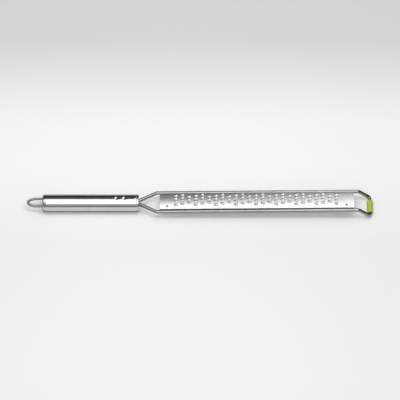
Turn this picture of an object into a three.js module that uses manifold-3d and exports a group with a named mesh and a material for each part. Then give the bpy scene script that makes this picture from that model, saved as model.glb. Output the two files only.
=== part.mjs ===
// A long hand grater, lying on a table: a polished steel tube handle with a hanging loop,
// one bent wire frame, a crowned sheet blade with scoop teeth, and a soft sleeve on the foot.
// Units are millimetres. +X runs from the handle to the foot, +Z is up, and the table is z = 0.
import * as THREE from 'three';
import { mergeVertices } from 'three/addons/utils/BufferGeometryUtils.js';
import Module from 'manifold-3d';

const wasm = await Module();
wasm.setup();

// Handle tube and its two pressed end caps
const HANDLE_DIAMETER = 20;
const HANDLE_LENGTH = 111.5;
const TUBE_WALL = 1;
const CAP_RIM = 2.6;
const CAP_WALL = 1.2;
const REAR_EDGE_RADIUS = 2.4;
const FRONT_EDGE_RADIUS = 0.8;
const CAP_SPIGOT_DEPTH = 5;
const CAP_FIT = 0.15;
const SEAM_GAP = 0.1;

// Hanging loop at the rear cap
const LOOP_WIRE = 2.9;
const LOOP_LIFT = 1.4;
const LOOP_REACH = 18;
const LOOP_TIP_LENGTH = 10.4;
const LOOP_INSET = 1.05;
const LOOP_TAIL = 4;

// Frame wire: two legs out of the front cap, side rails, arms down to the foot, and a foot bar
const FRAME_WIRE = 4;
const EXIT_GAP = 1.9;
const EXIT_STUB = 1.2;
const FRAME_TAIL = 4;
const SPREAD_REACH = 20.2;
const RAIL_SPACING = 26.2;
const ARM_START = 254;
const FOOT_REACH = 267;
const FRAME_LIFT = 1.4;
const FRAME_RISE = THREE.MathUtils.degToRad(0.82);
const LEG_BEND_RADIUS = 5;
const ARM_BEND_RADIUS = 4;
const FOOT_BEND_RADIUS = 5;

// Welds that hold the wires in the caps
const WELD_LEG = 0.6;
const WELD_GAP = 0.15;
const HOLE_CLEARANCE = 0.3;

// Blade sheet: a crown between the rails, with edges that bend down beside them and hook under them
const SHEET = 0.5;
const HOOK_CLEARANCE = 0.25;
const HOOK_WRAP = THREE.MathUtils.degToRad(95);
const CROWN_SLOPE = THREE.MathUtils.degToRad(17);
const SHOULDER_RADIUS = 0.8;
const SHOULDER_HEIGHT = 1.35;
const BLADE_START = 24.1;
const BLADE_LENGTH = 224.4;
const PILOT_DIAMETER = 3;
const PILOT_INSET = 8.6;

// Teeth: scoops that rise from the sheet and open towards the foot
const TOOTH_PITCH = 7.73;
const ROW_PITCH = 4.36;
const COLUMNS_PER_REPEAT = 3;
const REAR_MARGIN = 18.6;
const FRONT_MARGIN = 20;
const SIDE_MARGIN = 1.8;
const TOOTH_LENGTH = 4;
const TOOTH_WIDTH = 3.7;
const TOOTH_HEIGHT = 1.3;
const TOOTH_MOUTH = 0.9;

// Soft sleeve on the foot bar
const SLEEVE_LENGTH = 15;
const SLEEVE_WALL = 1.3;
const SLEEVE_CLEARANCE = 0.25;
const SLEEVE_EDGE = 0.6;

// How far a cutter runs each way, in thicknesses of the wall that it cuts
const CUTTER_REACH = 2;

// The largest share of a straight run that a bend at its end takes up
const BEND_SHARE = 0.45;

// Facet counts
const HANDLE_FACETS = 40;
const WIRE_FACETS = 12;
const LOOP_FACETS = 10;
const HOLE_FACETS = 16;
const SLEEVE_FACETS = 24;
const TOOTH_FACETS = 8;
const TOOTH_ARC_STEPS = 1;
const BEND_STEPS = 6;
const LOOP_STEPS = 14;
const ARC_STEPS = 2;
const CROWN_STEPS = 5;
const WELD_VERTICES = 1e-4;

const handleRadius = HANDLE_DIAMETER / 2;
const tubeBore = handleRadius - TUBE_WALL;
const axisHeight = handleRadius * Math.cos(Math.PI / HANDLE_FACETS);
const tubeLength = HANDLE_LENGTH - 2 * (CAP_RIM + SEAM_GAP);
const capRecess = tubeBore - CAP_FIT - CAP_WALL;
const loopSpacing = 2 * (capRecess - LOOP_INSET) - LOOP_WIRE;
const exitSpacing = FRAME_WIRE + EXIT_GAP;
const sleeveBore = FRAME_WIRE / 2 + SLEEVE_CLEARANCE;
const sleeveRadius = sleeveBore + SLEEVE_WALL;
const sleeveHeight = sleeveRadius * Math.cos(Math.PI / SLEEVE_FACETS);
const frameHeight = axisHeight + FRAME_LIFT;
const footDrop = (frameHeight + FOOT_REACH * Math.sin(FRAME_RISE) - sleeveHeight) / Math.cos(FRAME_RISE);

const POLISHED_STEEL = { color: 0xc9c8c6, metalness: 1, roughness: 0.12 };
const DRAWN_STEEL = { color: 0xbfc0c0, metalness: 1, roughness: 0.22 };
const SATIN_STEEL = { color: 0xc4c5c4, metalness: 1, roughness: 0.32 };
const SOFT_GREEN = { color: 0xb2c646, metalness: 0, roughness: 0.5 };

/** Keeps only shared positions, so that a closed geometry has no open seams. */
function weldSeams(geometry) {
  geometry.deleteAttribute('normal');
  geometry.deleteAttribute('uv');
  return mergeVertices(geometry, WELD_VERTICES);
}

/** A closed geometry as a solid that can be joined and cut. */
function toSolid(geometry) {
  const welded = weldSeams(geometry.clone());
  const vertProperties = welded.attributes.position.array;
  const triVerts = new Uint32Array(welded.index.array);
  return new wasm.Manifold(new wasm.Mesh({ numProp: 3, vertProperties, triVerts }));
}

/** The faces of a solid as a geometry. */
function toGeometry(solid) {
  const { vertProperties, triVerts } = solid.getMesh();
  const geometry = new THREE.BufferGeometry();
  geometry.setAttribute('position', new THREE.BufferAttribute(vertProperties, 3));
  geometry.setIndex(new THREE.BufferAttribute(triVerts, 1));
  geometry.computeVertexNormals();
  return geometry;
}

function namedMesh(name, geometry, look) {
  const mesh = new THREE.Mesh(geometry, new THREE.MeshStandardMaterial(look));
  mesh.name = name;
  return mesh;
}

/** A profile of (distance along the axis, radius) points turned about X, with a flat facet underneath. */
function turnedAboutX(points, facets) {
  const profile = points.map((point) => new THREE.Vector2(point.y, point.x));
  const geometry = new THREE.LatheGeometry(profile, facets, Math.PI / facets);
  return weldSeams(geometry.rotateZ(-Math.PI / 2));
}

/** A path of straight runs and round bends: one ring of the wire lies at each knot. */
class KnottedPath extends THREE.Curve {
  constructor(knots, tangents) {
    super();
    this.knots = knots;
    this.tangents = tangents;
  }

  nearestKnot(share) {
    return Math.round(share * (this.knots.length - 1));
  }

  getPointAt(share, target = new THREE.Vector3()) {
    return target.copy(this.knots[this.nearestKnot(share)]);
  }

  getTangentAt(share, target = new THREE.Vector3()) {
    return target.copy(this.tangents[this.nearestKnot(share)]);
  }
}

/** Rounds each inner corner of a polyline to its bend radius, limited by the runs beside it. */
function bentPath(corners) {
  const first = corners[0].point;
  const last = corners[corners.length - 1].point;
  const knots = [first];
  const tangents = [corners[1].point.clone().sub(first).normalize()];
  for (let index = 1; index < corners.length - 1; index++) {
    const { point, radius } = corners[index];
    const before = point.clone().sub(corners[index - 1].point);
    const after = corners[index + 1].point.clone().sub(point);
    const shortest = Math.min(before.length(), after.length());
    before.normalize();
    after.normalize();
    const turn = before.angleTo(after);
    const trim = Math.min(radius * Math.tan(turn / 2), BEND_SHARE * shortest);
    const bend = trim / Math.tan(turn / 2);
    const axis = before.clone().cross(after).normalize();
    const inward = axis.clone().cross(before);
    const centre = point.clone().addScaledVector(before, -trim).addScaledVector(inward, bend);
    for (let step = 0; step <= BEND_STEPS; step++) {
      const angle = (turn * step) / BEND_STEPS;
      knots.push(inward.clone().negate().applyAxisAngle(axis, angle).multiplyScalar(bend).add(centre));
      tangents.push(before.clone().applyAxisAngle(axis, angle));
    }
  }
  knots.push(last);
  tangents.push(last.clone().sub(corners[corners.length - 2].point).normalize());
  return new KnottedPath(knots, tangents);
}

/** Round wire of one diameter along a path. */
function wireAlong(path, diameter, facets) {
  const section = new THREE.Shape();
  for (let corner = 0; corner < facets; corner++) {
    const angle = ((corner + 0.5) * 2 * Math.PI) / facets;
    const across = (diameter / 2) * Math.cos(angle);
    const up = (diameter / 2) * Math.sin(angle);
    if (corner === 0) section.moveTo(across, up);
    else section.lineTo(across, up);
  }
  const steps = path.knots.length - 1;
  return weldSeams(new THREE.ExtrudeGeometry(section, { steps, extrudePath: path }));
}

function handleTube() {
  const wall = new THREE.Path();
  wall.moveTo(0, tubeBore);
  wall.lineTo(0, handleRadius);
  wall.lineTo(tubeLength, handleRadius);
  wall.lineTo(tubeLength, tubeBore);
  wall.lineTo(0, tubeBore);
  return turnedAboutX(wall.getPoints(), HANDLE_FACETS);
}

/** A cup that plugs the tube: x = 0 is the back of its rim, and +x points out of the handle. */
function endCap(edgeRadius, wireDiameter, wireSpacing, wireLift) {
  const edge = Math.min(edgeRadius, CAP_RIM);
  const spigot = tubeBore - CAP_FIT;
  const section = new THREE.Path();
  section.moveTo(CAP_RIM - CAP_WALL, 0);
  section.lineTo(CAP_RIM - CAP_WALL, capRecess);
  section.lineTo(-CAP_SPIGOT_DEPTH, capRecess);
  section.lineTo(-CAP_SPIGOT_DEPTH, spigot);
  section.lineTo(0, spigot);
  section.lineTo(0, handleRadius);
  section.lineTo(CAP_RIM - edge, handleRadius);
  section.absarc(CAP_RIM - edge, handleRadius - edge, edge, Math.PI / 2, 0, true);
  section.lineTo(CAP_RIM, 0);
  let cap = toSolid(turnedAboutX(section.getPoints(ARC_STEPS), HANDLE_FACETS));
  for (const side of [-1, 1]) {
    const radius = wireDiameter / 2 + HOLE_CLEARANCE;
    const hole = new THREE.CylinderGeometry(radius, radius, 2 * CUTTER_REACH * CAP_WALL, HOLE_FACETS);
    hole.rotateZ(Math.PI / 2).translate(CAP_RIM, (side * wireSpacing) / 2, wireLift);
    cap = cap.subtract(toSolid(hole));
  }
  return toGeometry(cap);
}

/** A ring of weld with a hollow outer face, seated on x = 0 round a wire that runs along +x. */
function weldRing(wireDiameter) {
  const inner = wireDiameter / 2 + WELD_GAP;
  const outer = inner + WELD_LEG;
  const section = new THREE.Path();
  section.moveTo(0, inner);
  section.lineTo(0, outer);
  section.absarc(WELD_LEG, outer, WELD_LEG, Math.PI, 1.5 * Math.PI, false);
  section.lineTo(0, inner);
  return turnedAboutX(section.getPoints(ARC_STEPS), HOLE_FACETS);
}

/** A long U whose tip is half an ellipse, with both legs through the rear cap. */
function hangingLoop() {
  const half = loopSpacing / 2;
  const tip = new THREE.EllipseCurve(0, 0, LOOP_TIP_LENGTH, half, Math.PI / 2, -Math.PI / 2, true);
  const arcStart = LOOP_REACH - LOOP_WIRE / 2 - LOOP_TIP_LENGTH;
  const legEnd = -CAP_WALL - LOOP_TAIL;
  const knots = [new THREE.Vector3(legEnd, half, 0)];
  const tangents = [new THREE.Vector3(1, 0, 0)];
  for (let step = 0; step <= LOOP_STEPS; step++) {
    const point = tip.getPoint(step / LOOP_STEPS);
    const tangent = tip.getTangent(step / LOOP_STEPS);
    knots.push(new THREE.Vector3(arcStart + point.x, point.y, 0));
    tangents.push(new THREE.Vector3(tangent.x, tangent.y, 0));
  }
  knots.push(new THREE.Vector3(legEnd, -half, 0));
  tangents.push(new THREE.Vector3(-1, 0, 0));
  return wireAlong(new KnottedPath(knots, tangents), LOOP_WIRE, LOOP_FACETS);
}

/** One wire: out of the cap, along one rail, across the foot and back along the other rail. */
function frameWire() {
  const oneSide = (side) => [
    { point: new THREE.Vector3(-CAP_WALL - FRAME_TAIL, (side * exitSpacing) / 2, 0) },
    { point: new THREE.Vector3(EXIT_STUB, (side * exitSpacing) / 2, 0), radius: LEG_BEND_RADIUS },
    { point: new THREE.Vector3(SPREAD_REACH, (side * RAIL_SPACING) / 2, 0), radius: LEG_BEND_RADIUS },
    { point: new THREE.Vector3(ARM_START, (side * RAIL_SPACING) / 2, 0), radius: ARM_BEND_RADIUS },
    { point: new THREE.Vector3(FOOT_REACH, (side * RAIL_SPACING) / 2, -footDrop), radius: FOOT_BEND_RADIUS },
  ];
  const corners = [...oneSide(1), ...oneSide(-1).reverse()];
  return wireAlong(bentPath(corners), FRAME_WIRE, WIRE_FACETS);
}

const hookRadius = FRAME_WIRE / 2 + HOOK_CLEARANCE + SHEET / 2;
const shoulder = RAIL_SPACING / 2 - hookRadius - SHOULDER_RADIUS;
const crownRadius = shoulder / Math.sin(CROWN_SLOPE) + SHOULDER_RADIUS;
const crownCentre = SHOULDER_HEIGHT - (crownRadius - SHOULDER_RADIUS) * Math.cos(CROWN_SLOPE);

/** The sheet's section: a crown, a round shoulder and a flange on each side, and a hook under each rail. */
function sheetSection() {
  const rail = RAIL_SPACING / 2;
  const join = Math.PI / 2 - CROWN_SLOPE;
  const lip = Math.PI + HOOK_WRAP;
  const mirrored = (angle) => Math.PI - angle;
  const half = SHEET / 2;
  const section = new THREE.Shape();
  section.absarc(0, crownCentre, crownRadius + half, mirrored(join), join, true);
  section.absarc(shoulder, SHOULDER_HEIGHT, SHOULDER_RADIUS + half, join, 0, true);
  section.absarc(rail, 0, hookRadius - half, Math.PI, lip, false);
  section.absarc(rail, 0, hookRadius + half, lip, Math.PI, true);
  section.absarc(shoulder, SHOULDER_HEIGHT, SHOULDER_RADIUS - half, 0, join, false);
  section.absarc(0, crownCentre, crownRadius - half, join, mirrored(join), false);
  section.absarc(-shoulder, SHOULDER_HEIGHT, SHOULDER_RADIUS - half, mirrored(join), Math.PI, false);
  section.absarc(-rail, 0, hookRadius + half, 0, mirrored(lip), true);
  section.absarc(-rail, 0, hookRadius - half, mirrored(lip), 0, false);
  section.absarc(-shoulder, SHOULDER_HEIGHT, SHOULDER_RADIUS + half, Math.PI, mirrored(join), true);
  return section;
}

/** Places a shape made about the sheet's middle at a distance along the blade and an arc length across it. */
function ontoCrown(geometry, along, across) {
  const tilt = across / crownRadius;
  const placed = geometry.clone().translate(along, 0, crownRadius);
  return placed.rotateX(-tilt).translate(0, 0, crownCentre);
}

/** An outline of (x, share of the radius) points turned about x, then drawn out to a width and height. */
function turnedTooth(outline, width, height) {
  const points = outline.getPoints(TOOTH_ARC_STEPS).reverse();
  const profile = points.map((point) => new THREE.Vector2(point.y, point.x));
  const geometry = new THREE.LatheGeometry(profile, TOOTH_FACETS);
  return toSolid(geometry.rotateZ(-Math.PI / 2).scale(1, width / 2, height));
}

/** The upper half of a dome whose closed end points back along -x and whose mouth is at x = 0. */
function toothHood() {
  const dome = new THREE.Path();
  dome.moveTo(0, 0);
  dome.lineTo(0, 1);
  dome.absellipse(0, 0, TOOTH_LENGTH, 1, Math.PI / 2, Math.PI, false);
  const above = new THREE.BoxGeometry(4 * TOOTH_LENGTH, 2 * TOOTH_WIDTH, 2 * TOOTH_HEIGHT + SHEET);
  above.translate(0, 0, TOOTH_HEIGHT + SHEET / 2);
  const whole = turnedTooth(dome, TOOTH_WIDTH, TOOTH_HEIGHT + SHEET / 2);
  return toGeometry(whole.intersect(toSolid(above)));
}

/** The hollow under a hood: a cone that opens at the mouth and runs on through the sheet before it. */
function toothHollow() {
  const cone = new THREE.Path();
  cone.moveTo(TOOTH_MOUTH, 0);
  cone.lineTo(TOOTH_MOUTH, 1);
  cone.lineTo(0, 1);
  cone.lineTo(SHEET - TOOTH_LENGTH, 0);
  return toGeometry(turnedTooth(cone, TOOTH_WIDTH - 2 * SHEET, TOOTH_HEIGHT - SHEET / 2));
}

/** Where the teeth stand: each column is moved across by a share of the row pitch, then repeats. */
function toothPlaces() {
  const shift = ROW_PITCH / COLUMNS_PER_REPEAT;
  const columns = Math.floor((BLADE_LENGTH - REAR_MARGIN - FRONT_MARGIN) / TOOTH_PITCH) + 1;
  const usableWidth = 2 * (crownRadius * CROWN_SLOPE - SIDE_MARGIN) - (COLUMNS_PER_REPEAT - 1) * shift;
  const rows = Math.floor(usableWidth / ROW_PITCH) + 1;
  const places = [];
  for (let column = 0; column < columns; column++) {
    const phase = (column % COLUMNS_PER_REPEAT) - (COLUMNS_PER_REPEAT - 1) / 2;
    for (let row = 0; row < rows; row++) {
      const across = (row - (rows - 1) / 2) * ROW_PITCH + phase * shift;
      places.push({ along: REAR_MARGIN + column * TOOTH_PITCH, across });
    }
  }
  return places;
}

function graterBlade() {
  const alongX = new THREE.Matrix4().makeBasis(
    new THREE.Vector3(0, 1, 0),
    new THREE.Vector3(0, 0, 1),
    new THREE.Vector3(1, 0, 0),
  );
  const options = { depth: BLADE_LENGTH, bevelEnabled: false, curveSegments: CROWN_STEPS };
  const sheet = new THREE.ExtrudeGeometry(sheetSection(), options).applyMatrix4(alongX);
  const hood = toothHood();
  const hollow = toothHollow();
  const mouthShift = (TOOTH_LENGTH - TOOTH_MOUTH) / 2;
  let blade = toSolid(sheet);
  const places = toothPlaces();
  for (const { along, across } of places) {
    blade = blade.add(toSolid(ontoCrown(hood, along + mouthShift, across)));
  }
  for (const { along, across } of places) {
    blade = blade.subtract(toSolid(ontoCrown(hollow, along + mouthShift, across)));
  }
  const pilotRadius = PILOT_DIAMETER / 2;
  const pilot = new THREE.CylinderGeometry(pilotRadius, pilotRadius, 2 * CUTTER_REACH * SHEET, HOLE_FACETS);
  pilot.rotateX(Math.PI / 2);
  const nearRow = places[0].across;
  for (const along of [PILOT_INSET, BLADE_LENGTH - PILOT_INSET]) {
    blade = blade.subtract(toSolid(ontoCrown(pilot, along, nearRow)));
  }
  return toGeometry(blade);
}

/** A soft tube about Y with eased rims, and a flat facet underneath. */
function footSleeve() {
  const half = SLEEVE_LENGTH / 2;
  const edge = Math.min(SLEEVE_EDGE, SLEEVE_WALL / 2);
  const profile = [
    new THREE.Vector2(sleeveBore, -half),
    new THREE.Vector2(sleeveRadius - edge, -half),
    new THREE.Vector2(sleeveRadius, edge - half),
    new THREE.Vector2(sleeveRadius, half - edge),
    new THREE.Vector2(sleeveRadius - edge, half),
    new THREE.Vector2(sleeveBore, half),
    new THREE.Vector2(sleeveBore, -half),
  ];
  return weldSeams(new THREE.LatheGeometry(profile, SLEEVE_FACETS, Math.PI / SLEEVE_FACETS));
}

function handleGroup() {
  const group = new THREE.Group();
  group.position.z = axisHeight;
  const tube = namedMesh('handle_tube', handleTube(), POLISHED_STEEL);
  tube.position.x = CAP_RIM + SEAM_GAP;
  const rearCup = endCap(REAR_EDGE_RADIUS, LOOP_WIRE, loopSpacing, LOOP_LIFT);
  const rearCap = namedMesh('rear_cap', rearCup, POLISHED_STEEL);
  rearCap.position.x = CAP_RIM;
  rearCap.rotation.z = Math.PI;
  const frontCup = endCap(FRONT_EDGE_RADIUS, FRAME_WIRE, exitSpacing, FRAME_LIFT);
  const frontCap = namedMesh('front_cap', frontCup, POLISHED_STEEL);
  frontCap.position.x = HANDLE_LENGTH - CAP_RIM;
  const loop = namedMesh('hanging_loop', hangingLoop(), DRAWN_STEEL);
  loop.position.z = LOOP_LIFT;
  loop.rotation.z = Math.PI;
  group.add(tube, rearCap, frontCap, loop);
  for (const [place, side] of [['near', -1], ['far', 1]]) {
    const rearWeld = namedMesh(`rear_weld_${place}`, weldRing(LOOP_WIRE), DRAWN_STEEL);
    rearWeld.position.set(0, (side * loopSpacing) / 2, LOOP_LIFT);
    rearWeld.rotation.z = Math.PI;
    const frontWeld = namedMesh(`front_weld_${place}`, weldRing(FRAME_WIRE), DRAWN_STEEL);
    frontWeld.position.set(HANDLE_LENGTH, (side * exitSpacing) / 2, FRAME_LIFT);
    group.add(rearWeld, frontWeld);
  }
  return group;
}

/** The frame's plane starts at the front cap and rises slightly towards the foot. */
function frameGroup() {
  const group = new THREE.Group();
  group.position.set(HANDLE_LENGTH, 0, frameHeight);
  group.rotation.y = -FRAME_RISE;
  const blade = namedMesh('grater_blade', graterBlade(), SATIN_STEEL);
  blade.position.x = BLADE_START;
  group.add(namedMesh('frame_wire', frameWire(), DRAWN_STEEL), blade);
  return group;
}

const sleeve = namedMesh('foot_sleeve', footSleeve(), SOFT_GREEN);
const footAlong = FOOT_REACH * Math.cos(FRAME_RISE) + footDrop * Math.sin(FRAME_RISE);
sleeve.position.set(HANDLE_LENGTH + footAlong, 0, sleeveHeight);

// The finished grater is centred lengthwise over the origin.
const grater = new THREE.Group();
const pieces = new THREE.Group();
pieces.add(handleGroup(), frameGroup(), sleeve);
grater.add(pieces);
const extent = new THREE.Box3().setFromObject(grater, true);
pieces.position.x = -(extent.min.x + extent.max.x) / 2;

export default grater;
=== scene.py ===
"""Looks of a long hand grater that lies on a pale table.

Sizes are in millimetres, in the frame of the solids: +X runs from the handle to the foot, +Y away from
the viewer, +Z up, and the table is z = 0. The meshes are written in metres.
"""
import math

import bpy
import numpy as np
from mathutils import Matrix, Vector


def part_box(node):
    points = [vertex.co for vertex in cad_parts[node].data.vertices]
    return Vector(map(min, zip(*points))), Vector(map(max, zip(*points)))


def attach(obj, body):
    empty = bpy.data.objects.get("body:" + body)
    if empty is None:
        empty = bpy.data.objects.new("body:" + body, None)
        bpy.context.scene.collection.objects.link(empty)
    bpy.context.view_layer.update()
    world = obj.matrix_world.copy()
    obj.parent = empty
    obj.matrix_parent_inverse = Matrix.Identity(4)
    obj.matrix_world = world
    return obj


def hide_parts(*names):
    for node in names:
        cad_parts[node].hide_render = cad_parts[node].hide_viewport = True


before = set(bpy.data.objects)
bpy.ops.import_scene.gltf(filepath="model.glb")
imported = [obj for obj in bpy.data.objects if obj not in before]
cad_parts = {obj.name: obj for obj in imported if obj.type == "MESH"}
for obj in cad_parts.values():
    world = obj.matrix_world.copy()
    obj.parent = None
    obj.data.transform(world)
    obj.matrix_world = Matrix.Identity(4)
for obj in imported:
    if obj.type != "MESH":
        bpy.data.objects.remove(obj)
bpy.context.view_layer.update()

MM = 0.001

# Points closer than one part of this many in a millimetre are one point
MERGE_GRID = 1e4

# Faces that meet at less than this many degrees are shaded as one
SMOOTH_ANGLE = 40.0


def box_in_mm(node):
    """Lowest and highest corner of a solid, in millimetres."""
    low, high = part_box(node)
    return np.array(low) / MM, np.array(high) / MM


# Handle: places come from the solids, wall and edges are named here
REAR_FACE = box_in_mm("rear_cap")[0][0]
FRONT_FACE = box_in_mm("front_cap")[1][0]
TUBE_REAR = box_in_mm("handle_tube")[0][0]
TUBE_FRONT = box_in_mm("handle_tube")[1][0]
HANDLE_AXIS = box_in_mm("handle_tube")[1][2] / 2
HANDLE_RADIUS = HANDLE_AXIS
TUBE_WALL = 1.0
TUBE_EDGE = 0.3
CAP_RIM = 2.6
CAP_WALL = 1.2
REAR_EDGE = 2.4
FRONT_EDGE = 0.8
CAP_BACK_EDGE = 0.2
CAP_SPIGOT_DEPTH = 5.0
CAP_FIT = 0.15
TUBE_STATIONS = 36
TUBE_ANGLE_STEP = 4
EASED_EDGE_STEPS = 4
CAP_EDGE_STEPS = 10
CAP_DISC_RINGS = 4
CAP_SIDES = 96

# Two plain round thumb dents on top of the handle
DENT_PLACES = (-96.0, -87.0)
DENT_ANGLE = math.radians(85)
DENT_DEPTH = 0.55
DENT_SPREAD = 1.8
DENT_MARGIN = 7.0
DENT_STEP = 0.5
DENT_FAN = 32
DENT_FAN_STEP = 1.6

# Hanging loop
LOOP_WIRE = 2.9
LOOP_LIFT = 1.4
LOOP_TIP_LENGTH = 10.4
LOOP_HALF_SPACING = 5.15
LOOP_TIP = box_in_mm("hanging_loop")[0][0] + LOOP_WIRE / 2
LOOP_TAIL = 5.2
LOOP_KNOTS = 49
LOOP_SIDES = 24

# Frame wire, measured along its own plane from the front cap
FRAME_WIRE = 4.0
FRAME_LIFT = 1.4
FRAME_RISE = math.radians(0.82)
FRAME_HEIGHT = HANDLE_AXIS + FRAME_LIFT
FRAME_TAIL = 5.2
EXIT_HALF_SPACING = 2.95
EXIT_STUB = 1.2
SPREAD_REACH = 20.2
RAIL_HALF_SPACING = 13.1
ARM_START = 254.0
FOOT_REACH = 267.0
LEG_BEND = 5.0
ARM_BEND = 4.0
FOOT_BEND = 3.2
BEND_STEPS = 14
WIRE_SIDES = 28
WIRE_REFERENCE = np.array([0.3, 0.0, 1.0])

# Welds
WELD_LEG = 0.6
WELD_RIPPLES = 11
WELD_RIPPLE_DEPTH = 0.07
WELD_BITE = 0.1
WELD_STEPS = 6
WELD_SIDES = 66
WELD_SMOOTH_ANGLE = 60.0

# Foot sleeve, which reaches further on the near side than its solid
SLEEVE_LOW, SLEEVE_HIGH = box_in_mm("foot_sleeve")
SLEEVE_CENTRE = (SLEEVE_LOW + SLEEVE_HIGH) / 2
SLEEVE_HALF_LENGTH = (SLEEVE_HIGH[1] - SLEEVE_LOW[1]) / 2
SLEEVE_RADIUS = SLEEVE_CENTRE[2]
SLEEVE_BORE = 2.25
SLEEVE_EDGE = 0.7
SLEEVE_MOUTH = 0.3
SLEEVE_NEAR_EXTRA = 2.0
SLEEVE_EDGE_STEPS = 8
SLEEVE_SIDES = 64
FOOT_DROP = (FRAME_HEIGHT + FOOT_REACH * math.sin(FRAME_RISE) - SLEEVE_RADIUS) / math.cos(FRAME_RISE)

# Blade sheet: a crown, round shoulders, flanges beside the rails and hooks under them
SHEET = 0.5
HOOK_CLEARANCE = 0.1
HOOK_RADIUS = FRAME_WIRE / 2 + HOOK_CLEARANCE + SHEET / 2
HOOK_WRAP = math.radians(95)
CROWN_SLOPE = math.radians(17)
SHOULDER_RADIUS = 0.35
SHOULDER_HEIGHT = 1.8
SHOULDER = RAIL_HALF_SPACING - HOOK_RADIUS - SHOULDER_RADIUS
CROWN_RADIUS = SHOULDER / math.sin(CROWN_SLOPE) + SHOULDER_RADIUS
CROWN_CENTRE = SHOULDER_HEIGHT - (CROWN_RADIUS - SHOULDER_RADIUS) * math.cos(CROWN_SLOPE)
CROWN_HALF_ARC = CROWN_RADIUS * CROWN_SLOPE
SHOULDER_ARC = SHOULDER_RADIUS * (math.pi / 2 - CROWN_SLOPE)
BLADE_START = 24.1
BLADE_LENGTH = 224.4
PILOT_RADIUS = 1.5
PILOT_INSET = 8.6
PILOT_IN_CELL = -1.4
PILOT_RING = 1.25
SHOULDER_PLACES = 8
FLANGE_PLACES = 3
HOOK_PLACES = 13
BLANK_PLACES = 3
BLADE_SMOOTH_ANGLE = 62.0

# Teeth
TOOTH_PITCH = 7.73
ROW_PITCH = 4.36
ROWS = 4
COLUMNS = 25
COLUMNS_PER_REPEAT = 3
FIRST_MOUTH = 19.75
TOOTH_LENGTH = 4.0
TOOTH_HALF_WIDTH = 1.85
TOOTH_HEIGHT = 1.3
TOOTH_MOUTH = 0.9
TOOTH_RING = 1.15
CELL_FRONT = 2.1
CELL_BACK_MIDDLE = -2.8
HOOD_ROUNDNESS = 1.9
LIP_LENGTH = 1.8
LIP_DROP = 0.2
HOOD_SHARES = np.array([1.0, 0.85, 0.6, 0.3, 0.0])
STEPS_PER_CELL = 6
CELL_STEP = ROW_PITCH / STEPS_PER_CELL
STRIP_NEAR = 16
STRIP_FAR = 12
PATTERN_MIDDLE = CROWN_HALF_ARC - STRIP_FAR * CELL_STEP

# Places along a cell, from the mouth: two behind it, its own, and two before it
IN_CELL = np.array([CELL_FRONT - TOOTH_PITCH, CELL_BACK_MIDDLE, 0.0, CELL_FRONT / 2, CELL_FRONT])
CELL_POINTS = 2 * (len(IN_CELL) - 1) + 2 * STEPS_PER_CELL

# View and light
VIEW_ELEVATION = math.radians(55)
VIEW_TARGET = Vector((0.0, 0.0046, 0.010))
VIEW_DISTANCE = 5.0
VIEW_LENS = 389.04
SENSOR = 36.0
PANEL_HEIGHT = 1.0
SOFT_RADIANCE = 1.3
KEY_RADIANCE = 7.5
FLOOR_HALF = 15.0
FLOOR_GLOW = 0.215
FLOOR_PLACES = 9
FLOOR_TONE_REACH = 0.3
RELIEF_DEPTH = 0.0001

# Edges of the light panels: along X from the handle to the foot, then across from near to far
PANEL_REAR = -1.6
PANEL_HANDLE_REAR = -0.35
PANEL_HANDLE_FRONT = -0.05
PANEL_BLADE = 0.12
PANEL_FOOT = 0.55
PANEL_NEAR = -1.0
PANEL_HANDLE_NEAR = -0.35
PANEL_HANDLE_FAR = 0.4
PANEL_MIDDLE_FAR = 0.7
PANEL_FOOT_FAR = 2.2
KEY_LOW = (-0.35, -0.19)
KEY_HIGH = (0.4, -0.03)

# Greys of the table from the near to the far side, painted shade that evens out the panels' uneven light and
# darkens the far table, and of the room from the viewer's side to the back
FLOOR_SHADE_TONES = ((0.1, 0.76), (0.42, 0.731), (0.6, 0.788), (0.7, 0.79), (0.755, 0.759), (0.9, 0.61))
ROOM_TONES = (
    (0.0, 0.26), (0.045, 0.42), (0.15, 0.60), (0.5, 0.40),
    (0.75, 0.12), (0.875, 0.09), (0.965, 0.05), (1.0, 0.02),
)

# Towards both sides the room falls to this share of its grey, between two sideways parts of a direction
SIDE_TONE = 0.3
SIDE_FROM = 0.15
SIDE_TO = 0.5


def unit(vectors):
    """Vectors of length one."""
    return vectors / np.linalg.norm(vectors, axis=-1, keepdims=True)


def grid_quads(rows, columns, close_rows=False, close_columns=False):
    """Corner numbers of the quads of a grid whose point (i, j) has number i * columns + j."""
    i = np.arange(rows if close_rows else rows - 1)
    j = np.arange(columns if close_columns else columns - 1)
    i, j = np.meshgrid(i, j, indexing="ij")
    next_i, next_j = (i + 1) % rows, (j + 1) % columns
    corners = [i * columns + j, next_i * columns + j, next_i * columns + next_j, i * columns + next_j]
    return np.stack(corners, axis=-1).reshape(-1, 4)


def merged(points, faces):
    """Joins points that lie together. A quad that loses a side becomes a triangle: its last corner is -1."""
    keys = np.round(points * MERGE_GRID).astype(np.int64)
    _, first, number = np.unique(keys, axis=0, return_index=True, return_inverse=True)
    faces = np.where(faces < 0, -1, number.reshape(-1)[faces])
    for side in range(4):
        after = (side + 1) % 4
        lost = (faces[:, side] == faces[:, after]) & (faces[:, 3] >= 0)
        turned = np.roll(faces[lost], -after, axis=1)
        faces[lost] = np.column_stack([turned[:, :3], np.full(len(turned), -1)])
    kept = (faces[:, 0] != faces[:, 1]) & (faces[:, 1] != faces[:, 2]) & (faces[:, 0] != faces[:, 2])
    return points[first], faces[kept]


def face_normals(points, faces):
    """Cross product of a face's diagonals, or of two sides of a triangle. It is longer on larger faces."""
    a, b, c = (points[faces[:, k]] for k in range(3))
    d = np.where((faces[:, 3] < 0)[:, None], a, points[faces[:, 3]])
    return np.cross(c - a, d - b)


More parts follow.
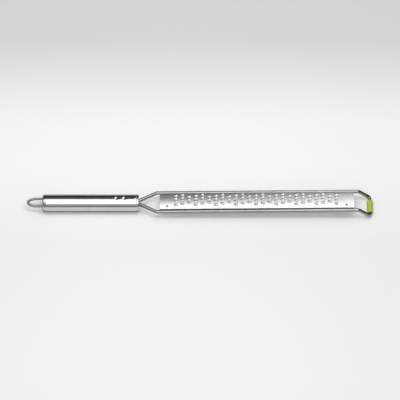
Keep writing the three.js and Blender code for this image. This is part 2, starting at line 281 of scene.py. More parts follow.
def facing_out(points, faces):
    """Turns all faces of a closed surface over if the volume they enclose comes out negative."""
    middle = points[faces[:, :3]].mean(axis=1)
    if np.sum(middle * face_normals(points, faces)) >= 0:
        return faces
    quad = faces[:, 3] >= 0
    over = faces.copy()
    over[quad] = faces[quad][:, ::-1]
    over[~quad, :3] = faces[~quad][:, 2::-1]
    return over


def make_piece(name, points, faces, material, nodes, sharp=SMOOTH_ANGLE, normals=None):
    """A closed surface, in millimetres, as one mesh object on the body, shaded smooth up to an angle.

    Normals come from the faces, unless a function is given that tells the normals at the corners of faces,
    where one of no length leaves its corner to the faces. Such a surface has its points merged already.
    """
    if normals is None:
        points, faces = merged(points, faces)
    faces = facing_out(points, faces)
    corners = [face[:3] if face[3] < 0 else face for face in faces.tolist()]
    mesh = bpy.data.meshes.new(name)
    mesh.from_pydata((points * MM).tolist(), [], corners)
    mesh.shade_smooth()
    mesh.set_sharp_from_angle(angle=math.radians(sharp))
    if normals is not None:
        mesh.normals_split_custom_set(normals(faces)[faces >= 0].tolist())
    mesh.materials.append(material)
    piece = bpy.data.objects.new(name, mesh)
    bpy.context.scene.collection.objects.link(piece)
    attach(piece, "root")
    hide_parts(*nodes)
    return piece


def arc(centre, radius, start, end, steps):
    """Points of a round arc in a plane, from one angle to another, in degrees."""
    angles = np.radians(np.linspace(start, end, steps + 1))
    return np.column_stack([centre[0] + radius * np.cos(angles), centre[1] + radius * np.sin(angles)])


def turned(outline, angles, axis_point, swell=0.0):
    """Carries a closed outline of (along, radius) points round a line along X.

    The point at (along, r) and angle a is (along, r cos a, r sin a) from the axis point, and swell is
    added to the radius at each outline point and angle.
    """
    along = np.repeat(outline[:, :1], len(angles), axis=1)
    radius = outline[:, 1:] + swell
    surface = np.stack([along, radius * np.cos(angles), radius * np.sin(angles)], axis=-1) + axis_point
    quads = grid_quads(len(outline), len(angles), close_rows=True, close_columns=True)
    return surface.reshape(-1, 3), quads


def swept(path, radius, sides, reference):
    """Carries a circle along a path, square to it, and closes both ends.

    The tangent at a knot halves the turn between the runs beside it. One axis of the circle is the
    tangent crossed with a fixed reference direction, and the other is square to both.
    """
    runs = unit(np.diff(path, axis=0))
    tangent = unit(np.vstack([runs[:1], runs]) + np.vstack([runs, runs[-1:]]))
    across = unit(np.cross(tangent, reference))
    up = np.cross(across, tangent)
    turn = np.linspace(0, 2 * math.pi, sides, endpoint=False)[:, None]
    rings = path[:, None] + radius * (np.cos(turn) * across[:, None] + np.sin(turn) * up[:, None])
    ends = np.repeat(path[[0, -1], None], sides, axis=1)
    surface = np.concatenate([ends[:1], rings, ends[1:]])
    return surface.reshape(-1, 3), grid_quads(len(path) + 2, sides, close_columns=True)


def bent_path(corners, radii, steps):
    """Straight runs between corners, with each inner corner rounded to its radius.

    A bend that turns by t starts radius * tan(t / 2) before its corner, and its points are the first
    radius arm turned in the plane of the two runs.
    """
    knots = [corners[:1]]
    for before, corner, after, radius in zip(corners, corners[1:], corners[2:], radii):
        arriving, leaving = unit(corner - before), unit(after - corner)
        turn = math.acos(np.clip(arriving @ leaving, -1, 1))
        inward = unit(leaving - arriving * (arriving @ leaving))
        start = corner - arriving * radius * math.tan(turn / 2)
        angle = np.linspace(0, turn, steps + 1)[:, None]
        knots.append(start + radius * (np.sin(angle) * arriving + (1 - np.cos(angle)) * inward))
    return np.concatenate(knots + [corners[-1:]])


def on_frame(local):
    """Points of the frame's own plane, which leaves the front cap and rises towards the foot."""
    along, across, up = local[..., 0], local[..., 1], local[..., 2]
    cosine, sine = math.cos(FRAME_RISE), math.sin(FRAME_RISE)
    x = FRONT_FACE + along * cosine - up * sine
    z = FRAME_HEIGHT + along * sine + up * cosine
    return np.stack([x, across, z], axis=-1)


# Node helpers

def add_node(tree, kind, inputs=(), **settings):
    """A node with its settings and the plain values of its sockets."""
    node = tree.nodes.new(kind)
    for name, value in settings.items():
        setattr(node, name, value)
    for name, value in dict(inputs).items():
        node.inputs[name].default_value = value
    return node


def worn_steel_group():
    """Fine drawn lines and cloudy handling marks: gives a colour, a roughness and a height."""
    group = bpy.data.node_groups.new("worn_steel", "ShaderNodeTree")
    for name, kind in (
        ("Vector", "NodeSocketVector"),
        ("Stretch", "NodeSocketVector"),
        ("Clean Color", "NodeSocketColor"),
        ("Dull Color", "NodeSocketColor"),
        ("Fineness", "NodeSocketFloat"),
        ("Cloud Size", "NodeSocketFloat"),
        ("Low Roughness", "NodeSocketFloat"),
        ("High Roughness", "NodeSocketFloat"),
        ("Cloud Roughness", "NodeSocketFloat"),
    ):
        group.interface.new_socket(name, in_out="INPUT", socket_type=kind)
    for name, kind in (
        ("Color", "NodeSocketColor"),
        ("Roughness", "NodeSocketFloat"),
        ("Height", "NodeSocketFloat"),
    ):
        group.interface.new_socket(name, in_out="OUTPUT", socket_type=kind)
    link = group.links.new
    given = add_node(group, "NodeGroupInput")
    result = add_node(group, "NodeGroupOutput")
    drawn_out = add_node(group, "ShaderNodeVectorMath", operation="MULTIPLY")
    lines = add_node(group, "ShaderNodeTexNoise", {"Detail": 4.0, "Roughness": 0.65})
    clouds = add_node(group, "ShaderNodeTexNoise", {"Detail": 3.0, "Roughness": 0.55})
    marks = add_node(group, "ShaderNodeMapRange", {"From Min": 0.42, "From Max": 0.72})
    from_lines = add_node(group, "ShaderNodeMapRange", {"From Min": 0.3, "From Max": 0.7})
    from_marks = add_node(group, "ShaderNodeMath", operation="MULTIPLY")
    rough = add_node(group, "ShaderNodeMath", operation="ADD")
    colour = add_node(group, "ShaderNodeMix", data_type="RGBA")
    link(given.outputs["Vector"], drawn_out.inputs[0])
    link(given.outputs["Stretch"], drawn_out.inputs[1])
    link(drawn_out.outputs[0], lines.inputs["Vector"])
    link(given.outputs["Fineness"], lines.inputs["Scale"])
    link(given.outputs["Vector"], clouds.inputs["Vector"])
    link(given.outputs["Cloud Size"], clouds.inputs["Scale"])
    link(clouds.outputs["Fac"], marks.inputs["Value"])
    link(lines.outputs["Fac"], from_lines.inputs["Value"])
    link(given.outputs["Low Roughness"], from_lines.inputs["To Min"])
    link(given.outputs["High Roughness"], from_lines.inputs["To Max"])
    link(marks.outputs[0], from_marks.inputs[0])
    link(given.outputs["Cloud Roughness"], from_marks.inputs[1])
    link(from_lines.outputs[0], rough.inputs[0])
    link(from_marks.outputs[0], rough.inputs[1])
    link(marks.outputs[0], colour.inputs["Factor"])
    link(given.outputs["Clean Color"], colour.inputs["A"])
    link(given.outputs["Dull Color"], colour.inputs["B"])
    link(colour.outputs["Result"], result.inputs["Color"])
    link(rough.outputs[0], result.inputs["Roughness"])
    link(lines.outputs["Fac"], result.inputs["Height"])
    return group


def steel(name, group, grain, shader_values, bump):
    """A bare metal finish: the worn steel group on object coordinates feeds colour, roughness and bump."""
    material = bpy.data.materials.new(name)
    material.use_nodes = True
    tree = material.node_tree
    shader = tree.nodes["Principled BSDF"]
    shader.inputs["Metallic"].default_value = 1.0
    for socket, value in shader_values.items():
        shader.inputs[socket].default_value = value
    place = add_node(tree, "ShaderNodeTexCoord")
    worn = add_node(tree, "ShaderNodeGroup", node_tree=group)
    for socket, value in grain.items():
        worn.inputs[socket].default_value = value
    relief = add_node(tree, "ShaderNodeBump", {"Strength": bump, "Distance": RELIEF_DEPTH})
    tree.links.new(place.outputs["Object"], worn.inputs["Vector"])
    tree.links.new(worn.outputs["Color"], shader.inputs["Base Color"])
    tree.links.new(worn.outputs["Roughness"], shader.inputs["Roughness"])
    tree.links.new(worn.outputs["Height"], relief.inputs["Height"])
    tree.links.new(relief.outputs["Normal"], shader.inputs["Normal"])
    return material


def soft_green():
    """Lime silicone: slightly uneven colour, a matt skin and fine mould texture."""
    material = bpy.data.materials.new("lime_silicone")
    material.use_nodes = True
    tree = material.node_tree
    shader = tree.nodes["Principled BSDF"]
    shader.inputs["Subsurface Weight"].default_value = 0.15
    shader.inputs["Subsurface Radius"].default_value = (0.002, 0.002, 0.0005)
    shader.inputs["Specular IOR Level"].default_value = 0.4
    place = add_node(tree, "ShaderNodeTexCoord")
    clouds = add_node(tree, "ShaderNodeTexNoise", {"Scale": 260.0, "Detail": 3.0})
    colour = add_node(tree, "ShaderNodeMix", data_type="RGBA")
    colour.inputs["A"].default_value = (0.40, 0.53, 0.055, 1)
    colour.inputs["B"].default_value = (0.50, 0.62, 0.085, 1)
    skin = add_node(tree, "ShaderNodeTexNoise", {"Scale": 2600.0, "Detail": 2.0})
    rough = add_node(tree, "ShaderNodeMapRange", {"To Min": 0.42, "To Max": 0.56})
    relief = add_node(tree, "ShaderNodeBump", {"Strength": 0.12, "Distance": RELIEF_DEPTH})
    link = tree.links.new
    link(place.outputs["Object"], clouds.inputs["Vector"])
    link(place.outputs["Object"], skin.inputs["Vector"])
    link(clouds.outputs["Fac"], colour.inputs["Factor"])
    link(colour.outputs["Result"], shader.inputs["Base Color"])
    link(skin.outputs["Fac"], rough.inputs["Value"])
    link(rough.outputs[0], shader.inputs["Roughness"])
    link(skin.outputs["Fac"], relief.inputs["Height"])
    link(relief.outputs["Normal"], shader.inputs["Normal"])
    return material


WORN = worn_steel_group()
DARK_GRAZING = {"Specular Tint": (0.0, 0.0, 0.0, 1)}
POLISHED = steel(
    "polished_tube",
    WORN,
    {
        "Stretch": (1.0, 0.02, 0.02),
        "Clean Color": (0.66, 0.65, 0.64, 1),
        "Dull Color": (0.60, 0.585, 0.57, 1),
        "Fineness": 2600.0,
        "Cloud Size": 55.0,
        "Low Roughness": 0.05,
        "High Roughness": 0.11,
        "Cloud Roughness": 0.04,
    },
    DARK_GRAZING,
    0.02,
)
WIRE = steel(
    "drawn_wire",
    WORN,
    {
        "Stretch": (0.03, 1.0, 1.0),
        "Clean Color": (0.38, 0.38, 0.38, 1),
        "Dull Color": (0.32, 0.315, 0.31, 1),
        "Fineness": 3200.0,
        "Cloud Size": 90.0,
        "Low Roughness": 0.06,
        "High Roughness": 0.12,
        "Cloud Roughness": 0.04,
    },
    DARK_GRAZING,
    0.05,
)
SATIN = steel(
    "satin_sheet",
    WORN,
    {
        "Stretch": (0.015, 1.0, 1.0),
        "Clean Color": (0.66, 0.66, 0.655, 1),
        "Dull Color": (0.59, 0.59, 0.585, 1),
        "Fineness": 2600.0,
        "Cloud Size": 40.0,
        "Low Roughness": 0.28,
        "High Roughness": 0.38,
        "Cloud Roughness": 0.05,
    },
    {},
    0.06,
)
DULL_WIRE = steel(
    "dull_wire",
    WORN,
    {
        "Stretch": (0.05, 0.05, 1.0),
        "Clean Color": (0.36, 0.36, 0.355, 1),
        "Dull Color": (0.29, 0.285, 0.28, 1),
        "Fineness": 3000.0,
        "Cloud Size": 120.0,
        "Low Roughness": 0.40,
        "High Roughness": 0.52,
        "Cloud Roughness": 0.05,
    },
    DARK_GRAZING,
    0.06,
)
BEAD = steel(
    "weld_bead",
    WORN,
    {
        "Stretch": (1.0, 1.0, 1.0),
        "Clean Color": (0.50, 0.49, 0.48, 1),
        "Dull Color": (0.34, 0.31, 0.29, 1),
        "Fineness": 1500.0,
        "Cloud Size": 500.0,
        "Low Roughness": 0.28,
        "High Roughness": 0.45,
        "Cloud Roughness": 0.05,
    },
    {},
    0.15,
)
GREEN = soft_green()


def handle_tube():
    """Tube wall: outside run, eased ends and bore as one outline, with round dents pressed into the top.

    A dent lowers the radius by depth * exp(-(d / spread)^2), where d is the distance over the surface.
    """
    bore = HANDLE_RADIUS - TUBE_WALL
    coarse = np.linspace(TUBE_REAR + TUBE_EDGE, TUBE_FRONT - TUBE_EDGE, TUBE_STATIONS)
    around_dents = np.arange(min(DENT_PLACES) - DENT_MARGIN, max(DENT_PLACES) + DENT_MARGIN, DENT_STEP)
    run = np.unique(np.concatenate([coarse, around_dents]))
    outside = np.column_stack([run, np.full(len(run), HANDLE_RADIUS)])
    eased = HANDLE_RADIUS - TUBE_EDGE
    rear_edge = arc((TUBE_REAR + TUBE_EDGE, eased), TUBE_EDGE, 180, 90, EASED_EDGE_STEPS)
    front_edge = arc((TUBE_FRONT - TUBE_EDGE, eased), TUBE_EDGE, 90, 0, EASED_EDGE_STEPS)
    inside = np.array([[TUBE_FRONT, bore], [TUBE_REAR, bore]])
    outline = np.vstack([rear_edge[:-1], outside, front_edge[1:], inside])
    fine = DENT_ANGLE + np.radians(np.arange(-DENT_FAN, DENT_FAN, DENT_FAN_STEP))
    even = np.radians(np.arange(0, 360, TUBE_ANGLE_STEP))
    angles = np.unique(np.round(np.concatenate([even, fine]), 6))
    swell = np.zeros((len(outline), len(angles)))
    over = HANDLE_RADIUS * (angles - DENT_ANGLE)
    for place in DENT_PLACES:
        distance = np.hypot(outline[:, :1] - place, over)
        swell -= DENT_DEPTH * np.exp(-((distance / DENT_SPREAD) ** 2))
    swell[outline[:, 1] < HANDLE_RADIUS] = 0
    points, quads = turned(outline, angles, np.array([0, 0, HANDLE_AXIS]), swell)
    make_piece("handle_tube_wall", points, quads, POLISHED, ["handle_tube"])


def end_cap(name, node, face, outward, edge_radius):
    """Pressed cup: face with a rounded edge, rim as wide as the tube, and a spigot inside the tube."""
    spigot = HANDLE_RADIUS - TUBE_WALL - CAP_FIT
    edge = arc((CAP_RIM - edge_radius, HANDLE_RADIUS - edge_radius), edge_radius, 0, 90, CAP_EDGE_STEPS)
    back_centre = (CAP_BACK_EDGE, HANDLE_RADIUS - CAP_BACK_EDGE)
    back = arc(back_centre, CAP_BACK_EDGE, 90, 180, EASED_EDGE_STEPS)
    cup = np.array(
        [
            [0, spigot],
            [-CAP_SPIGOT_DEPTH, spigot],
            [-CAP_SPIGOT_DEPTH, spigot - CAP_WALL],
            [CAP_RIM - CAP_WALL, spigot - CAP_WALL],
            [CAP_RIM - CAP_WALL, 0],
        ]
    )
    disc_radii = np.linspace(0, HANDLE_RADIUS - edge_radius, CAP_DISC_RINGS + 1)[:-1]
    disc = np.column_stack([np.full(CAP_DISC_RINGS, CAP_RIM), disc_radii])
    outline = np.vstack([disc, edge, back, cup])
    outline[:, 0] = face + outward * (outline[:, 0] - CAP_RIM)
    angles = np.linspace(0, 2 * math.pi, CAP_SIDES, endpoint=False)
    points, quads = turned(outline, angles, np.array([0, 0, HANDLE_AXIS]))
    make_piece(name, points, quads, POLISHED, [node])


def weld_bead(name, node, face, outward, across, up, wire):
    """Fillet of weld round a wire: a hollow quarter arc whose foot waves in and out with the angle."""
    inner = wire / 2 - WELD_BITE
    outer = wire / 2 + WELD_LEG
    hollow = arc((WELD_LEG, outer), WELD_LEG, 180, 270, WELD_STEPS)
    outline = np.vstack([[[-WELD_BITE, inner]], [[-WELD_BITE, outer]], hollow, [[WELD_LEG, inner]]])
    angles = np.linspace(0, 2 * math.pi, WELD_SIDES, endpoint=False)
    share = np.clip((outline[:, 1:] - inner) / WELD_LEG, 0, 1)
    swell = share * WELD_RIPPLE_DEPTH * np.sin(WELD_RIPPLES * angles)
    outline[:, 0] = face + outward * outline[:, 0]
    points, quads = turned(outline, angles, np.array([0, across, up]), swell)
    make_piece(name, points, quads, BEAD, [node], sharp=WELD_SMOOTH_ANGLE)


def hanging_loop():
    """Wire on two straight legs joined by half an ellipse."""
    arc_start = LOOP_TIP + LOOP_TIP_LENGTH
    angle = np.linspace(math.pi / 2, 3 * math.pi / 2, LOOP_KNOTS)
    tip_x = arc_start + LOOP_TIP_LENGTH * np.cos(angle)
    tip_y = LOOP_HALF_SPACING * np.sin(angle)
    leg_x = REAR_FACE + LOOP_TAIL
    x = np.concatenate([[leg_x], tip_x, [leg_x]])
    y = np.concatenate([[LOOP_HALF_SPACING], tip_y, [-LOOP_HALF_SPACING]])
    path = np.column_stack([x, y, np.full(len(x), HANDLE_AXIS + LOOP_LIFT)])
    points, quads = swept(path, LOOP_WIRE / 2, LOOP_SIDES, np.array([0.0, 0.0, 1.0]))
    make_piece("hanging_loop_wire", points, quads, DULL_WIRE, ["hanging_loop"])


def frame_wire():
    """One wire: out of the cap, along one rail, down to the foot, across, and back the same way."""
    side = np.array(
        [
            [-FRAME_TAIL, EXIT_HALF_SPACING, 0],
            [EXIT_STUB, EXIT_HALF_SPACING, 0],
            [SPREAD_REACH, RAIL_HALF_SPACING, 0],
            [ARM_START, RAIL_HALF_SPACING, 0],
            [FOOT_REACH, RAIL_HALF_SPACING, -FOOT_DROP],
        ]
    )
    corners = np.vstack([side, (side * [1, -1, 1])[::-1]])
    bends = [LEG_BEND, LEG_BEND, ARM_BEND, FOOT_BEND]
    path = on_frame(bent_path(corners, bends + bends[::-1], BEND_STEPS))
    points, quads = swept(path, FRAME_WIRE / 2, WIRE_SIDES, WIRE_REFERENCE)
    make_piece("frame_wire_bent", points, quads, WIRE, ["frame_wire"])


def foot_sleeve():
    """Soft tube round the foot bar: wall outline with rounded rims, carried round the bar's line."""
    near_end = -SLEEVE_HALF_LENGTH - SLEEVE_NEAR_EXTRA
    far_end = SLEEVE_HALF_LENGTH
    rim = SLEEVE_RADIUS - SLEEVE_EDGE
    near = arc((near_end + SLEEVE_EDGE, rim), SLEEVE_EDGE, 180, 90, SLEEVE_EDGE_STEPS)
    far = arc((far_end - SLEEVE_EDGE, rim), SLEEVE_EDGE, 90, 0, SLEEVE_EDGE_STEPS)
    bore = np.array(
        [
            [far_end, SLEEVE_BORE + SLEEVE_MOUTH],
            [far_end - SLEEVE_MOUTH, SLEEVE_BORE],
            [near_end + SLEEVE_MOUTH, SLEEVE_BORE],
            [near_end, SLEEVE_BORE + SLEEVE_MOUTH],
        ]
    )
    outline = np.vstack([near, far, bore])
    angles = np.linspace(0, 2 * math.pi, SLEEVE_SIDES, endpoint=False)
    points, quads = turned(outline, angles, np.zeros(3))
    points = points[:, [1, 0, 2]] + SLEEVE_CENTRE
    make_piece("foot_sleeve_tube", points, quads, GREEN, ["foot_sleeve"])


def level_points(plan):
    """Points of unrolled sheet, (along, across, height, slope along, slope across), where it is level."""
    return np.column_stack([plan, np.zeros((len(plan), 3))])


def cell_rim():
    """Points round a blank cell of one tooth pitch by one row pitch, from beside the mouth onwards."""
    half_wide = ROW_PITCH / 2
    wide_steps = np.linspace(-1, 1, STEPS_PER_CELL + 1) * half_wide
    near = np.column_stack([IN_CELL, np.full(len(IN_CELL), -half_wide)])
    front = np.column_stack([np.full(len(wide_steps), IN_CELL[-1]), wide_steps])
    far = np.column_stack([IN_CELL[::-1], np.full(len(IN_CELL), half_wide)])
    back = np.column_stack([np.full(len(wide_steps), IN_CELL[0]), wide_steps[::-1]])
    return np.vstack([near[2:-1], front[:-1], far[:-1], back[:-1], near[:2]])


def ring_angles():
    """An angle for each point of a cell's rim, from the near side onwards."""
    return np.radians(np.arange(CELL_POINTS) * (360 / CELL_POINTS) - 90)


def rings_to_cell(rings):
    """Points and quads, facing up, of a level cell made of rings from its rim inwards."""
    surface = level_points(np.concatenate(rings))
    return surface, grid_quads(len(rings), len(rings[0]), close_columns=True)[:, ::-1]


def tooth_cell():
    """A scoop in its piece of sheet.

    Rings are half ellipses, long behind the mouth and short before it. Behind the mouth the hood rises as
    height * (1 - q^roundness), where q goes from 1 at the foot of the hood, where the sheet is level, to 0
    at the middle of the mouth. Over the lip's length the hood sinks again towards the mouth, by the square
    of the way into the lip. Before the mouth the sheet is cut away inside q = 1.
    """
    rim = cell_rim()
    angle = ring_angles()
    reach = np.where(np.cos(angle) > 0, TOOTH_MOUTH, TOOTH_LENGTH)
    ellipse = np.column_stack([reach * np.cos(angle), TOOTH_HALF_WIDTH * np.sin(angle)])
    points, quads = rings_to_cell((rim, TOOTH_RING * ellipse, ellipse))
    behind = np.vstack([ellipse[CELL_POINTS // 2:], ellipse[:1]])
    plan = (HOOD_SHARES[:, None, None] * behind).reshape(-1, 2)
    outward = np.tile(behind, (len(HOOD_SHARES), 1)) / np.array([TOOTH_LENGTH, TOOTH_HALF_WIDTH]) ** 2
    share = np.repeat(HOOD_SHARES, len(behind))
    rise = 1 - share**HOOD_ROUNDNESS
    into_lip = np.clip(1 + plan[:, 0] / LIP_LENGTH, 0, 1)
    crest = TOOTH_HEIGHT * (1 - LIP_DROP * into_lip**2)
    slopes = -(crest * HOOD_ROUNDNESS * share ** (HOOD_ROUNDNESS - 1))[:, None] * outward
    slopes[:, 0] -= rise * TOOTH_HEIGHT * LIP_DROP * 2 * into_lip / LIP_LENGTH
    slopes[share == 1] = 0
    hood = np.column_stack([plan, crest * rise, slopes])
    hood_quads = grid_quads(len(HOOD_SHARES), len(behind))[:, ::-1] + len(points)
    return np.vstack([points, hood]), np.vstack([quads, hood_quads])


def pilot_cell():
    """A round hole in a blank cell."""
    rim = cell_rim()
    angle = ring_angles()
    circle = np.column_stack([np.cos(angle), np.sin(angle)])
    middle = np.array([PILOT_IN_CELL, 0.0])
    rings = (rim, middle + PILOT_RING * PILOT_RADIUS * circle, middle + PILOT_RADIUS * circle)
    return rings_to_cell(rings)


def plain_sheet(along, across):
    """Level sheet on a grid of places along and across."""
    x, s = np.meshgrid(along, across, indexing="ij")
    return level_points(np.column_stack([x.ravel(), s.ravel()])), grid_quads(len(along), len(across))


def repeated(cell, places):
    """A cell copied to places (along, across)."""
    points, quads = cell
    moved = points[None] + level_points(places)[:, None]
    numbers = quads[None] + (np.arange(len(places)) * len(points))[:, None, None]
    return np.concatenate(moved), np.concatenate(numbers)


def joined(parts):
    """Several sets of points and quads as one."""
    starts = np.cumsum([0] + [len(points) for points, _ in parts])[:-1]
    points = np.vstack([points for points, _ in parts])
    return points, np.vstack([quads + start for (_, quads), start in zip(parts, starts)])


def steps_between(low, high):
    """Places across the strip from one cell step to another, counted from the middle of the pattern."""
    return PATTERN_MIDDLE + np.arange(low, high + 1) * CELL_STEP


def flat_blade():
    """The middle of the unrolled sheet.

    A strip of cells runs along the middle. Each column of teeth is moved across by a third of the row
    pitch. A tooth that would pass the far edge of the crown is left out, and blank sheet fills the column
    up to the strip's edges. Level sheet goes on from the strip to the ends of the hooks.
    """
    column = np.arange(COLUMNS)
    mouth = FIRST_MOUTH + column * TOOTH_PITCH
    phase = (column % COLUMNS_PER_REPEAT - 1) * ROW_PITCH / COLUMNS_PER_REPEAT
    row = (np.arange(ROWS) - (ROWS - 1) / 2) * ROW_PITCH
    across = PATTERN_MIDDLE + phase[:, None] + row
    inside = across + ROW_PITCH / 2 < CROWN_HALF_ARC + CELL_STEP / 2
    teeth = np.column_stack([np.repeat(mouth, ROWS), across.ravel()])[inside.ravel()]
    parts = [repeated(tooth_cell(), teeth)]
    first = np.rint((phase + row[0] - ROW_PITCH / 2) / CELL_STEP).astype(int)
    for middle, start, end in zip(mouth, first, first + STEPS_PER_CELL * inside.sum(axis=1)):
        for low, high in ((-STRIP_NEAR, start), (end, STRIP_FAR)):
            if high > low:
                parts.append(plain_sheet(middle + IN_CELL, steps_between(low, high)))
    pilots = np.array([PILOT_INSET, BLADE_LENGTH - PILOT_INSET]) - PILOT_IN_CELL
    half_cell = STEPS_PER_CELL // 2
    near_row = half_cell - STRIP_NEAR
    beside = np.repeat(steps_between(near_row, near_row), 2)
    parts.append(repeated(pilot_cell(), np.column_stack([pilots, beside])))
    for middle in pilots:
        parts.append(plain_sheet(middle + IN_CELL, steps_between(near_row + half_cell, STRIP_FAR)))
    back, front = IN_CELL[0], IN_CELL[-1]
    blanks = [
        np.linspace(0, pilots[0] + back, BLANK_PLACES),
        np.linspace(pilots[0] + front, mouth[0] + back, BLANK_PLACES),
        np.linspace(mouth[-1] + front, pilots[1] + back, BLANK_PLACES),
        np.linspace(pilots[1] + front, BLADE_LENGTH, BLANK_PLACES),
    ]
    parts += [plain_sheet(along, steps_between(-STRIP_NEAR, STRIP_FAR)) for along in blanks]
    in_cells = (np.concatenate([pilots, mouth])[:, None] + IN_CELL).ravel()
    along = np.unique(np.round(np.concatenate(blanks + [in_cells]), 6))
    shoulder = CROWN_HALF_ARC + np.linspace(0, SHOULDER_ARC, SHOULDER_PLACES)
    flange = shoulder[-1] + np.linspace(0, SHOULDER_HEIGHT, FLANGE_PLACES)
    hook = flange[-1] + HOOK_RADIUS * np.linspace(0, HOOK_WRAP, HOOK_PLACES)
    edge = np.concatenate([shoulder, flange[1:], hook[1:]])
    near_edge = np.append(-edge[::-1], steps_between(-STRIP_NEAR, -STRIP_NEAR))
    parts += [plain_sheet(along, edge), plain_sheet(along, near_edge)]
    return joined(parts)


def rolled(flat):
    """Bends the flat sheet across: a crown of one radius, round shoulders, upright flanges, then hooks.

    Up to the crown's half arc a place across is the angle s / R about the crown's centre, and height
    stands off along that radius. Past it, the shoulder turns on from the crown's slope to a right angle,
    the flange goes straight down to the rail's middle, and the hook turns under the rail about its centre.
    A normal is the one of the flat sheet, (-slope along, -slope across, 1), turned over with the sheet.
    """
    along, across, height, slope_along, slope_across = flat.T
    past = np.abs(across) - CROWN_HALF_ARC
    down = past - SHOULDER_ARC
    crown = np.abs(across) / CROWN_RADIUS
    shoulder = CROWN_SLOPE + past / SHOULDER_RADIUS
    hook = (down - SHOULDER_HEIGHT) / HOOK_RADIUS
    zones = [past <= 0, down <= 0, hook <= 0]
    y = np.select(
        zones,
        [
            (CROWN_RADIUS + height) * np.sin(crown),
            SHOULDER + SHOULDER_RADIUS * np.sin(shoulder),
            np.full(len(along), SHOULDER + SHOULDER_RADIUS),
        ],
        RAIL_HALF_SPACING - HOOK_RADIUS * np.cos(hook),
    )
    z = np.select(
        zones,
        [
            CROWN_CENTRE + (CROWN_RADIUS + height) * np.cos(crown),
            SHOULDER_HEIGHT + SHOULDER_RADIUS * np.cos(shoulder),
            SHOULDER_HEIGHT - down,
        ],
        -HOOK_RADIUS * np.sin(hook),
    )
    right_angle = np.full(len(along), math.pi / 2)
    turn = np.sign(across) * np.select(zones, [crown, shoulder, right_angle], right_angle - hook)
    lean = unit(np.column_stack([-slope_along, -slope_across, np.ones(len(along))]))
    lean_y = lean[:, 1] * np.cos(turn) + lean[:, 2] * np.sin(turn)
    lean_z = lean[:, 2] * np.cos(turn) - lean[:, 1] * np.sin(turn)
    points = on_frame(np.column_stack([BLADE_START + along, np.sign(across) * y, z]))
    normals = on_frame(np.column_stack([lean[:, 0], lean_y, lean_z])) - on_frame(np.zeros(3))
    return points, normals


def thickened(points, normals, faces, thickness):
    """Closes an open sheet: both faces stand half the thickness off along the normals at the points.

    Sides that belong to one face only are the sheet's cut edge, and get a quad between the two faces.
    """
    quad = faces[:, 3] >= 0
    count = len(points)
    under = np.where(faces >= 0, faces + count, -1)
    under[quad] = under[quad][:, ::-1]
    under[~quad, :3] = under[~quad][:, 2::-1]
    quads, triangles = faces[quad], faces[~quad][:, :3]
    sides = [quads[:, [k, (k + 1) % 4]] for k in range(4)]
    sides += [triangles[:, [k, (k + 1) % 3]] for k in range(3)]
    sides = np.vstack(sides)
    _, first, uses = np.unique(np.sort(sides, axis=1), axis=0, return_index=True, return_counts=True)
    start, end = sides[first[uses == 1]].T
    cut = np.column_stack([end, start, start + count, end + count])
    offset = normals * thickness / 2
    return np.vstack([points + offset, points - offset]), np.vstack([faces, under, cut])


def grater_blade():
    """Punched sheet whose long edges hook under the rails, with its formula's normals on both faces."""
    flat, faces = merged(*flat_blade())
    points, normals = rolled(flat)
    skins = 2 * len(faces)
    points, faces = thickened(points, normals, faces, SHEET)
    both = np.vstack([normals, -normals])

    def corner_normals(corners):
        on_skin = np.arange(len(corners)) < skins
        return np.where(on_skin[:, None, None], both[corners], 0.0)

    make_piece(
        "grater_blade_sheet", points, faces, SATIN, ["grater_blade"],
        sharp=BLADE_SMOOTH_ANGLE, normals=corner_normals,
    )


handle_tube()
end_cap("rear_cap_cup", "rear_cap", REAR_FACE, -1, REAR_EDGE)
end_cap("front_cap_cup", "front_cap", FRONT_FACE, 1, FRONT_EDGE)
hanging_loop()
frame_wire()
grater_blade()
foot_sleeve()
for place, side in (("near", -1), ("far", 1)):
    weld_bead(
        f"rear_weld_bead_{place}", f"rear_weld_{place}", REAR_FACE, -1,
        side * LOOP_HALF_SPACING, HANDLE_AXIS + LOOP_LIFT, LOOP_WIRE,
    )
    weld_bead(
        f"front_weld_bead_{place}", f"front_weld_{place}", FRONT_FACE, 1,
        side * EXIT_HALF_SPACING, FRAME_HEIGHT, FRAME_WIRE,
    )


def ramp_node(tree, stops):
    """A grey colour ramp through (place, grey) stops."""
    ramp = add_node(tree, "ShaderNodeValToRGB")
    elements = ramp.color_ramp.elements
    elements.remove(elements[1])
    for number, (place, grey) in enumerate(stops):
        element = elements[0] if number == 0 else elements.new(place)
        element.position = place
        element.color = (grey, grey, grey, 1)
    return ramp


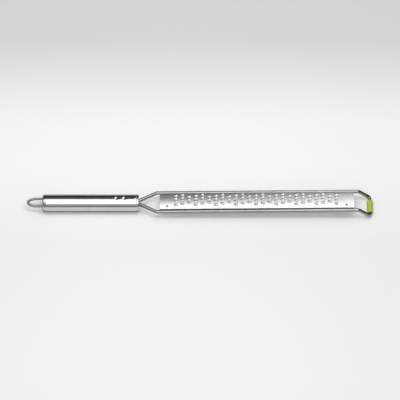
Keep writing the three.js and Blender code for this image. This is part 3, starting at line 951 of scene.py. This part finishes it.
def pale_floor():
    """Level table top, pale, with painted shade: its grey changes slowly from the near side to the far side
    to even out the panels' light and darken the far table. It glows with that grey for camera, glossy and
    transmission rays, which lightens its shadows.
    """
    mesh = bpy.data.meshes.new("table_top")
    steps = np.linspace(-FLOOR_HALF, FLOOR_HALF, FLOOR_PLACES)
    x, y = np.meshgrid(steps, steps, indexing="ij")
    points = np.column_stack([x.ravel(), y.ravel(), np.zeros(x.size)])
    mesh.from_pydata(points.tolist(), [], grid_quads(FLOOR_PLACES, FLOOR_PLACES).tolist())
    material = bpy.data.materials.new("pale_table")
    material.use_nodes = True
    tree = material.node_tree
    shader = tree.nodes["Principled BSDF"]
    shader.inputs["Roughness"].default_value = 0.9
    shader.inputs["Specular IOR Level"].default_value = 0.1
    place = add_node(tree, "ShaderNodeTexCoord")
    parts = add_node(tree, "ShaderNodeSeparateXYZ")
    ends = {"From Min": -FLOOR_TONE_REACH, "From Max": FLOOR_TONE_REACH}
    span = add_node(tree, "ShaderNodeMapRange", ends)
    # painted shade: the table's grey is set by its place from the near to the far side
    tone = ramp_node(tree, FLOOR_SHADE_TONES)
    tree.links.new(place.outputs["Object"], parts.inputs[0])
    tree.links.new(parts.outputs["Y"], span.inputs["Value"])
    tree.links.new(span.outputs[0], tone.inputs["Fac"])
    tree.links.new(tone.outputs["Color"], shader.inputs["Base Color"])
    rays = add_node(tree, "ShaderNodeLightPath")
    mirrored = add_node(tree, "ShaderNodeMath", operation="ADD")
    seen = add_node(tree, "ShaderNodeMath", operation="ADD")
    glow = add_node(tree, "ShaderNodeMath", {1: FLOOR_GLOW}, operation="MULTIPLY")
    tree.links.new(rays.outputs["Is Glossy Ray"], mirrored.inputs[0])
    tree.links.new(rays.outputs["Is Transmission Ray"], mirrored.inputs[1])
    tree.links.new(rays.outputs["Is Camera Ray"], seen.inputs[0])
    tree.links.new(mirrored.outputs[0], seen.inputs[1])
    tree.links.new(seen.outputs[0], glow.inputs[0])
    tree.links.new(glow.outputs[0], shader.inputs["Emission Strength"])
    tree.links.new(tone.outputs["Color"], shader.inputs["Emission Color"])
    mesh.materials.append(material)
    table = bpy.data.objects.new("table_top", mesh)
    bpy.context.scene.collection.objects.link(table)


def light_panel(name, low, high, radiance):
    """Level panel that shines down, between two corners of its plane: its power is pi * area * radiance."""
    lamp = bpy.data.lights.new(name, "AREA")
    lamp.shape = "RECTANGLE"
    lamp.size, lamp.size_y = high[0] - low[0], high[1] - low[1]
    lamp.energy = math.pi * lamp.size * lamp.size_y * radiance
    panel = bpy.data.objects.new(name, lamp)
    panel.location = ((low[0] + high[0]) / 2, (low[1] + high[1]) / 2, PANEL_HEIGHT)
    panel.visible_camera = False
    bpy.context.scene.collection.objects.link(panel)


def studio_room():
    """A dim room: grey on the viewer's side, nearly dark behind the table, and darker to both sides."""
    world = bpy.data.worlds.new("studio_room")
    bpy.context.scene.world = world
    world.use_nodes = True
    tree = world.node_tree
    background = tree.nodes["Background"]
    place = add_node(tree, "ShaderNodeTexCoord")
    parts = add_node(tree, "ShaderNodeSeparateXYZ")
    span = add_node(tree, "ShaderNodeMapRange", {"From Min": -1.0, "From Max": 1.0})
    tone = ramp_node(tree, ROOM_TONES)
    tree.links.new(place.outputs["Generated"], parts.inputs[0])
    tree.links.new(parts.outputs["Y"], span.inputs["Value"])
    aside = add_node(tree, "ShaderNodeMath", operation="ABSOLUTE")
    fall = {"From Min": SIDE_FROM, "From Max": SIDE_TO, "To Min": 1.0, "To Max": SIDE_TONE}
    shade = add_node(tree, "ShaderNodeMapRange", fall)
    tree.links.new(span.outputs[0], tone.inputs["Fac"])
    tree.links.new(parts.outputs["X"], aside.inputs[0])
    tree.links.new(aside.outputs[0], shade.inputs["Value"])
    tree.links.new(shade.outputs[0], background.inputs["Strength"])
    tree.links.new(tone.outputs["Color"], background.inputs["Color"])


def photo_camera():
    """Camera at the photograph's angle: level left to right, looking down on the table."""
    camera = bpy.data.cameras.new("photo_camera")
    camera.lens = VIEW_LENS
    camera.sensor_width = SENSOR
    holder = bpy.data.objects.new("photo_camera", camera)
    back = Vector((0, -math.cos(VIEW_ELEVATION), math.sin(VIEW_ELEVATION)))
    holder.location = VIEW_TARGET + VIEW_DISTANCE * back
    holder.rotation_euler = back.to_track_quat("Z", "Y").to_euler()
    bpy.context.scene.collection.objects.link(holder)
    bpy.context.scene.camera = holder


pale_floor()
light_panel(
    "handle_panel", (PANEL_REAR, PANEL_HANDLE_NEAR), (PANEL_HANDLE_FRONT, PANEL_HANDLE_FAR), SOFT_RADIANCE,
)
light_panel(
    "handle_front_panel", (PANEL_HANDLE_REAR, PANEL_NEAR), (PANEL_HANDLE_FRONT, PANEL_HANDLE_NEAR),
    SOFT_RADIANCE,
)
light_panel("middle_panel", (PANEL_HANDLE_FRONT, PANEL_NEAR), (PANEL_BLADE, PANEL_MIDDLE_FAR), SOFT_RADIANCE)
light_panel("foot_panel", (PANEL_BLADE, PANEL_NEAR), (PANEL_FOOT, PANEL_FOOT_FAR), SOFT_RADIANCE)
light_panel("key_panel", KEY_LOW, KEY_HIGH, KEY_RADIANCE)
studio_room()
photo_camera()
bpy.context.scene.view_settings.view_transform = "Standard"
